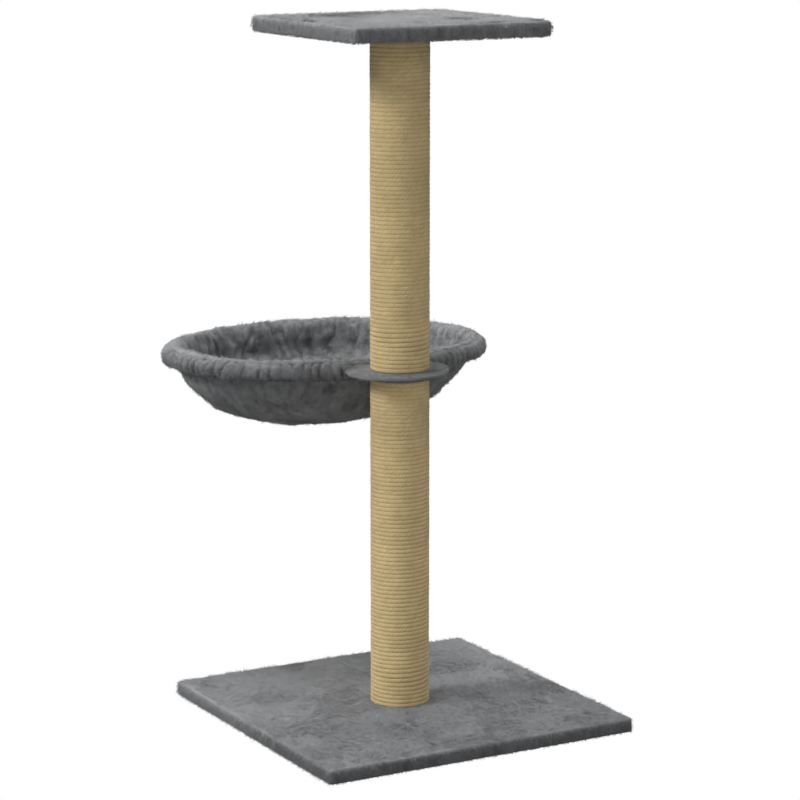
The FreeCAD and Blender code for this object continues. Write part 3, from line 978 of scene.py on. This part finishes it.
# The bowl's size, the two powers that round its belly and floor, and how far its floor
# sits off the ring's middle, away from the post and to the left.
BOWL = {
    "radius": 0.1832,
    "depth": 0.0902,
    "belly": 2.59,
    "floor": 1.47,
    "out": 0.030,
    "left": 0.008,
}
RIM_GATHERS, RIM_SEED = 92, 71


def gathers(points, count, seed):
    """The folds at any points near the hammock, from their place round the ring."""
    own = to_ring(points)
    return folds(np.arctan2(own[..., 1], own[..., 0]), points, count, seed)


def bowl_line(inset, over_rim):
    """The bowl's section from brim to floor: share of depth and radius, evenly spaced.
    Over the rim, it starts tucked into the roll's crest and comes down its inner side."""
    share = 1 - np.linspace(0, 1, 600) ** 2
    share = share[share >= (0.17 if over_rim else 0.03)][::-1]
    radius = BOWL["radius"] * (1 - share ** BOWL["belly"]) ** (1 / BOWL["floor"])
    line = np.stack([radius, -share * BOWL["depth"]], -1)
    slope = unit(np.gradient(line, axis=0))
    line = line + np.stack([slope[:, 1], -slope[:, 0]], -1) * inset
    line[:, 0] = np.maximum(line[:, 0], 0.0)
    if over_rim:
        turn = np.radians(np.linspace(68, 186, 30))
        reach = np.interp(turn, np.radians([68, 95, 186]), [9.4 * MM, 12.3 * MM, 12.9 * MM])
        lip = np.stack([RING_RADIUS + reach * np.cos(turn), reach * np.sin(turn)], -1)
        line = np.concatenate([lip, line])
        share = np.concatenate([np.maximum(-lip[:, 1] / BOWL["depth"], 0), share])
    return share, line


def bowl_points(inset, turns, rings, over_rim=False, pole=2.5 * MM):
    """The bowl at rest, drawn in from its outside by inset; first index round, second down."""
    share, line = bowl_line(inset, over_rim)
    along = distances(line)
    at = np.linspace(0, 1, rings) * along[-1]
    radius = np.interp(at, along, line[:, 0])
    radius = np.maximum(radius, pole * np.linspace(1, 0.999, rings))
    height = np.interp(at, along, line[:, 1])
    lower = np.interp(at, along, share)
    angle = np.arange(turns) * TAU / turns
    shift = lower**1.5
    x = radius[None] * np.cos(angle)[:, None] - BOWL["left"] * shift[None]
    y = radius[None] * np.sin(angle)[:, None] + BOWL["out"] * shift[None]
    z = np.broadcast_to(height[None], x.shape)
    return np.stack([x, y, z], -1), at, height


def finer(grid, turns, rings):
    """A looped grid of vectors resampled to more rows and columns."""
    rows, cols = grid.shape[:2]
    i = np.arange(turns) * rows / turns
    j = np.linspace(0, cols - 1, rings)
    i0, j0 = np.floor(i).astype(int), np.minimum(np.floor(j).astype(int), cols - 2)
    fi, fj = (i - i0)[:, None, None], (j - j0)[None, :, None]
    fi, fj = fi * fi * (3 - 2 * fi), fj * fj * (3 - 2 * fj)
    a, b = grid[i0 % rows], grid[(i0 + 1) % rows]
    near = a[:, j0] * (1 - fj) + a[:, j0 + 1] * fj
    far = b[:, j0] * (1 - fj) + b[:, j0 + 1] * fj
    return near * (1 - fi) + far * fi


def bowl_drape():
    """How the hanging cloth moves off the cut shape: a field over the bowl's coarse grid."""
    rows, cols = 150, 34
    rest, _, _ = bowl_points(4 * MM, rows, cols)
    world = from_ring(rest.reshape(-1, 3))
    held = np.zeros((rows, cols))
    held[:, :2] = 1.0
    faces = quads(numbered(rows, cols))
    hung = settle("hanging_cloth", world, faces, held, frames=26, fullness=0.05, cap=4.5 * MM)
    return (hung - world).reshape(rows, cols, 3)


DRAPE = bowl_drape()


def bowl_layer(word, inset, lines_it, seed, replaced):
    """One layer of the bowl: its cloth and its pile. The lining covers the rim's inner side."""
    turns, rings = 420, 72
    rest, at, height = bowl_points(inset, turns, rings, over_rim=lines_it, pole=0.3 * MM)
    drape = finer(DRAPE, turns, rings) * np.clip(-height / (12 * MM), 0, 1)[None, :, None]
    skin = Skin(from_ring(rest) + drape, looped=True)
    middle = from_ring(np.array([[-BOWL["left"], BOWL["out"], -0.03]]))[0]
    facing = ((skin.points - middle) * skin.normals).sum(-1).mean()
    if (facing > 0) == lines_it:
        skin.turn_over()
    p = skin.points
    down = at[None] / MM
    count, depth = (56, 4.0 * MM) if lines_it else (58, 2.2 * MM)
    reach = (8, 22, 60, 105) if lines_it else (2, 10, 30, 75)
    strength = np.interp(down, reach, (0.15, 1, 0.8, 0))
    swell = depth * strength * (gathers(p, count, seed) - 0.4)
    if lines_it:
        crest = np.exp(-(((down - 5) / 8) ** 2))
        swell = swell + 2.0 * MM * crest * (gathers(p, RIM_GATHERS, RIM_SEED) - 0.65)
    swell = swell + 1.3 * MM * noise(p, 12 * MM, seed + 2)
    swell = swell + 1.1 * MM * noise(p, 32 * MM, seed + 3) - 0.9 * MM * creases(p, seed + 4)
    swell = swell * np.clip(down / 4, 0, 1) - (0.0 if lines_it else 0.4 * MM)
    back = skin.points - skin.normals * np.maximum(2.6 * MM, 0.9 * MM - swell)[..., None]
    skin.moved(swell)
    points, faces = skin.shell(back)

    def shade(q):
        """Mottled, with painted shade between the folds and in the creases, and the lining painted
        darker than the outside.
        """
        # painted shade: the lining inside the bowl darker, the outside lighter
        broad_tone = (0.95 if lines_it else 1.03) + 0.07 * noise(q, 22 * MM, seed + 5)
        broad_tone = broad_tone + 0.12 * noise(q, 9 * MM, seed + 6)
        below = np.maximum(-to_ring(q)[..., 2], 0)
        deep = np.interp(below, np.array([2, 12, 32, 66]) * MM, (0.3, 1, 0.5, 0))
        # painted shade between the folds, strongest a little below the rim, and between the rim's
        # gathers near the crest
        between = 1 - (0.3 if lines_it else 0.24) * deep * (1 - gathers(q, count, seed)) ** 2
        brim = np.exp(-((below / (7 * MM)) ** 2)) if lines_it else 0.0
        between = between - 0.3 * brim * (1 - gathers(q, RIM_GATHERS, RIM_SEED)) ** 2
        # painted shade in the creases
        return broad_tone * between * (1 - 0.28 * creases(q, seed + 4))

    tones = np.concatenate([0.86 * shade(p).ravel(), 0.6 + 0 * p[..., 0].ravel()])
    cloth = piece(f"{word}_plush", points, faces, "hammock_plush", "hammock", tones, [replaced])
    hairy = np.zeros((turns, rings))
    hairy[:, 2:-2] = 1
    furred(
        word,
        (skin, "hammock_plush", "hammock"),
        (19800, 30000),
        (seed, seed + 40),
        {"lift": 0.2, "clump": 8 * MM, "pull": 0.3, "length": 7.4 * MM},
        keep=hairy,
        swirl=26 * MM,
        shade=shade,
    )
    return cloth


outer = bowl_layer("bowl_outer", 0.0, False, 51, "hammock_outer")
lining = bowl_layer("bowl_lining", 8.0 * MM, True, 61, "hammock_lining")


def torus_shell(skin):
    """Points and quads of a grid that closes on itself both ways."""
    index = numbered(*skin.points.shape[:2])
    index = np.concatenate([index, index[:, :1]], axis=1)
    return skin.points.reshape(-1, 3), quads(index)


def make_rim():
    """The padded rim: gathered plush drawn round the wire, sewn along its underside."""
    turns, sides = 560, 26
    filling = 1.9 * MM
    unfilled = 12.5 * MM - filling
    # the section starts at the seam underneath and goes round by the outside
    section = -math.pi / 2 + np.linspace(0, 1, sides + 1)[:-1] * TAU
    a, s = np.meshgrid(np.arange(turns) * TAU / turns, section, indexing="ij")
    flat = around(a) * (RING_RADIUS + unfilled * np.cos(s)[..., None])
    skin = Skin(from_ring(flat + UP * (unfilled * np.sin(s))[..., None]), looped=True)
    middle = from_ring(around(a) * RING_RADIUS)
    skin.normals = unit(skin.points - middle)
    points, faces = torus_shell(skin)
    sewn = np.zeros(skin.points.shape[:2])
    sewn[:, [0, 1, -1]] = 1.0
    blown = {"pressure": 6.0, "gravity": 0.0}
    p = settle("rim_filling", points, faces, sewn, frames=16, fullness=0.06, cap=filling, **blown)
    p = p.reshape(skin.points.shape)
    under = np.clip(-np.sin(s), 0, 1)
    outside = np.clip(0.5 + 0.9 * np.cos(s), 0, 1)
    hill = gathers(p, RIM_GATHERS, RIM_SEED)
    uneven = np.clip(0.65 + 0.9 * noise(p, 17 * MM, RIM_SEED + 4), 0.15, 1.2)
    swell = (2.8 * MM * outside + 0.6 * MM) * uneven * (hill - 0.72)
    swell = swell + 0.7 * MM * noise(p, 6 * MM, RIM_SEED + 1)
    swell = swell + 0.8 * MM * noise(p, 15 * MM, RIM_SEED + 2)
    hem = np.exp(-(((np.degrees(s) + 40) / 20) ** 2))
    hem = hem * (0.7 + 0.6 * noise(p, 20 * MM, RIM_SEED + 3))
    swell = swell + 2.0 * MM * hem - 2.4 * MM * np.clip(under - 0.75, 0, 1) / 0.25
    skin.points = p + skin.normals * swell[..., None]
    points, faces = torus_shell(skin)

    def shade(q):
        """Painted shade between the gathers, on the outside and over the crest."""
        broad_tone = 0.94 + 0.06 * noise(q, 14 * MM, RIM_SEED + 5)
        gap_shade = (1 - gathers(q, RIM_GATHERS, RIM_SEED)) ** 1.6
        uneven = np.clip(0.65 + 0.9 * noise(q, 17 * MM, RIM_SEED + 4), 0.1, 1.2)
        return broad_tone * (1 - 0.5 * gap_shade * uneven)

    tones = 0.84 * shade(skin.points).ravel()
    roll = piece("rim_plush", points, faces, "hammock_plush", "hammock", tones, ["hammock_rim"])
    closed = Skin(np.concatenate([skin.points, skin.points[:, :1]], axis=1), looped=True)
    closed.normals = unit(np.concatenate([skin.normals, skin.normals[:, :1]], axis=1))
    furred(
        "rim",
        (closed, "hammock_plush", "hammock"),
        (19800, 30000),
        (77, 78),
        {"lift": 0.26, "pull": 0.4, "length": 5.6 * MM},
        clump=5.5 * MM,
        swirl=18 * MM,
        nap=(0, 0, -0.25),
        shade=shade,
    )
    return roll


rim = make_rim()


def collar():
    """The plush cover of the steel plate between the post sections. Its loose edge hangs
    a little down and to one side."""
    low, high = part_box("collar_cover")
    edge = high.x / MM
    top, under = high.z / MM, low.z / MM
    line = np.array(
        [
            (5.0, top - 1.85),
            (44, top - 1.85),
            (55, top - 2.0),
            (58.6, top - 2.8),
            (edge - 0.5, top - 4.1),
            (58.6, top - 5.5),
            (55, under + 0.9),
            (44, under + 0.75),
            (5.0, under + 0.75),
        ]
    ) * MM
    along = distances(line)
    turns, rings = 220, 56
    at = np.linspace(0, along[-1], rings)
    radius, z = np.interp(at, along, line[:, 0]), np.interp(at, along, line[:, 1])
    angle = np.arange(turns)[:, None] * TAU / turns
    loose = np.clip((radius - 52 * MM) / (8.5 * MM), 0, 1)[None]
    ragged = 1 + 0.03 * loose * noise(around(angle), 0.22, 84)
    aside = unit(np.array([-0.87, 0.49]))
    droop = 1.4 * MM * loose * (np.cos(angle) * aside[0] + np.sin(angle) * aside[1])
    x = radius[None] * ragged * np.cos(angle) + aside[0] * 2.4 * MM * loose
    y = radius[None] * ragged * np.sin(angle) + aside[1] * 2.4 * MM * loose
    skin = Skin(np.stack([x, y, z[None] - droop], -1), looped=True)
    if skin.normals[0, 2, 2] < 0:
        skin.turn_over()
    inner = skin.points - skin.normals * 0.5 * MM
    swell = 0.5 * MM * noise(skin.points, 10 * MM, 81) + 0.5 * MM * noise(skin.points, 26 * MM, 82)
    swell = np.where(radius[None] > 38 * MM, np.maximum(swell + 0.3 * MM, 0.2 * MM), 0)
    skin.moved(swell)
    shell, faces = skin.shell(inner)
    cover = piece("collar_plush", shell, faces, "plush", "hammock", 0.76, ["collar_cover"])
    clear = np.broadcast_to((radius > 37 * MM)[None], (turns, rings)).astype(float)

    def shade(q):
        return 0.9 + 0.08 * noise(q, 9 * MM, 85)

    look = {"length": 5 * MM, "width": 0.55 * MM, "lift": 0.2, "keep": clear, "shade": shade}
    pile("collar_pile", skin, "plush", "hammock", 5200, 83, **look)


collar()


def stitches():
    """The hem's sewing under the rim: a ring of short stitches sunk in the cloth."""
    co = np.array([v.co for v in frame["nodes"]["hem_thread"].data.vertices])
    own = to_ring(co)
    height = (own[:, 2].max() + own[:, 2].min()) / 2
    reach = np.hypot(own[:, 0], own[:, 1])
    radius = (reach.max() + reach.min()) / 2
    count, length, thick = 196, 4.4 * MM, 0.75 * MM
    share = np.array([-1, -0.8, -0.35, 0.35, 0.8, 1.0])
    girth = np.array([0.25, 0.8, 1, 1, 0.8, 0.25]) * thick
    dip = np.array([0.9, 0.3, 0, 0, 0.3, 0.9]) * MM
    at = np.arange(count)[:, None] * TAU / count + share[None] * length / 2 / radius
    spoke = around(at)
    line = spoke * radius + UP * (height + dip)[None, :, None]
    sides = 6
    points = from_ring(tube_points(line, girth, spoke, UP, sides))
    faces = copies(closed_tube(len(share), sides), len(share) * sides, count)
    piece("hem_stitches", points, faces, "thread", "hammock", 1.0, ["hem_thread"])


stitches()


# ----------------------------------------------------------------- fittings
SUBPARTS = {s["node"]: s["material_slot"] for s in frame["record"]["subparts"]}
for node, made in frame["nodes"].items():
    made.data.materials.clear()
    made.data.materials.append(FINISHES[SUBPARTS[node]])


# ------------------------------------------------------- floor, light, camera
def studio():
    """A pale floor that the camera sees as the photo's white ground, soft light, and the
    camera at the photo's angle."""
    floor = bpy.data.meshes.new("floor")
    half = 30.0
    corners = [(-half, -half, 0), (half, -half, 0), (half, half, 0), (-half, half, 0)]
    floor.from_pydata(corners, [], [(0, 1, 2, 3)])
    ground = bpy.data.objects.new("floor", floor)
    bpy.context.scene.collection.objects.link(ground)
    paint = Finish("floor_paint", 0.9)
    clouds = paint.grain(3, 2.0)
    paint.tinted(clouds, (0.0, (0.19, 0.19, 0.19)), (1.0, (0.21, 0.21, 0.21)))
    output = paint.tree.nodes["Material Output"]
    glow = paint.node("ShaderNodeEmission", {"Color": (1, 1, 1, 1), "Strength": 1.0})
    seen = paint.node("ShaderNodeLightPath").outputs["Is Camera Ray"]
    both = {0: seen, 1: paint.shader.outputs[0], 2: glow.outputs[0]}
    mixed = paint.node("ShaderNodeMixShader", both)
    paint.tree.links.new(mixed.outputs[0], output.inputs["Surface"])
    floor.materials.append(paint.material)

    world = bpy.data.worlds.new("studio")
    bpy.context.scene.world = world
    world.use_nodes = True
    back = world.node_tree.nodes["Background"]
    back.inputs["Color"].default_value = (1, 1, 1, 1)
    back.inputs["Strength"].default_value = 0.42

    aim = Vector((0, 0, 0.4))

    def lamp(name, kind, energy, place, **settings):
        data = bpy.data.lights.new(name, kind)
        data.energy = energy
        for key, value in settings.items():
            setattr(data, key, value)
        made = bpy.data.objects.new(name, data)
        made.location = place
        made.rotation_euler = (aim - Vector(place)).to_track_quat("-Z", "Y").to_euler()
        bpy.context.scene.collection.objects.link(made)

    lamp("key", "SUN", 2.3, (-2.9, 0.6, 2.45), angle=math.radians(16))
    lamp("rear", "SUN", 1.2, (-0.6, 2.9, 2.2), angle=math.radians(30))
    lamp("overhead", "AREA", 320, (0.1, 0.1, 5.0), shape="SQUARE", size=3.0)
    lamp("front", "AREA", 33, (-1.2, -3.2, 1.2), shape="SQUARE", size=2.0)

    camera = bpy.data.cameras.new("camera")
    camera.lens = 129.88
    camera.sensor_width = 36
    camera.clip_end = 200
    eye = bpy.data.objects.new("camera", camera)
    eye.location = (-1.626, -2.894, 1.027)
    down = math.radians(11.01)
    look = Vector((0.490 * math.cos(down), 0.872 * math.cos(down), -math.sin(down)))
    eye.rotation_euler = look.to_track_quat("-Z", "Y").to_euler()
    bpy.context.scene.collection.objects.link(eye)
    bpy.context.scene.camera = eye
    bpy.context.scene.view_settings.view_transform = "Standard"


studio()
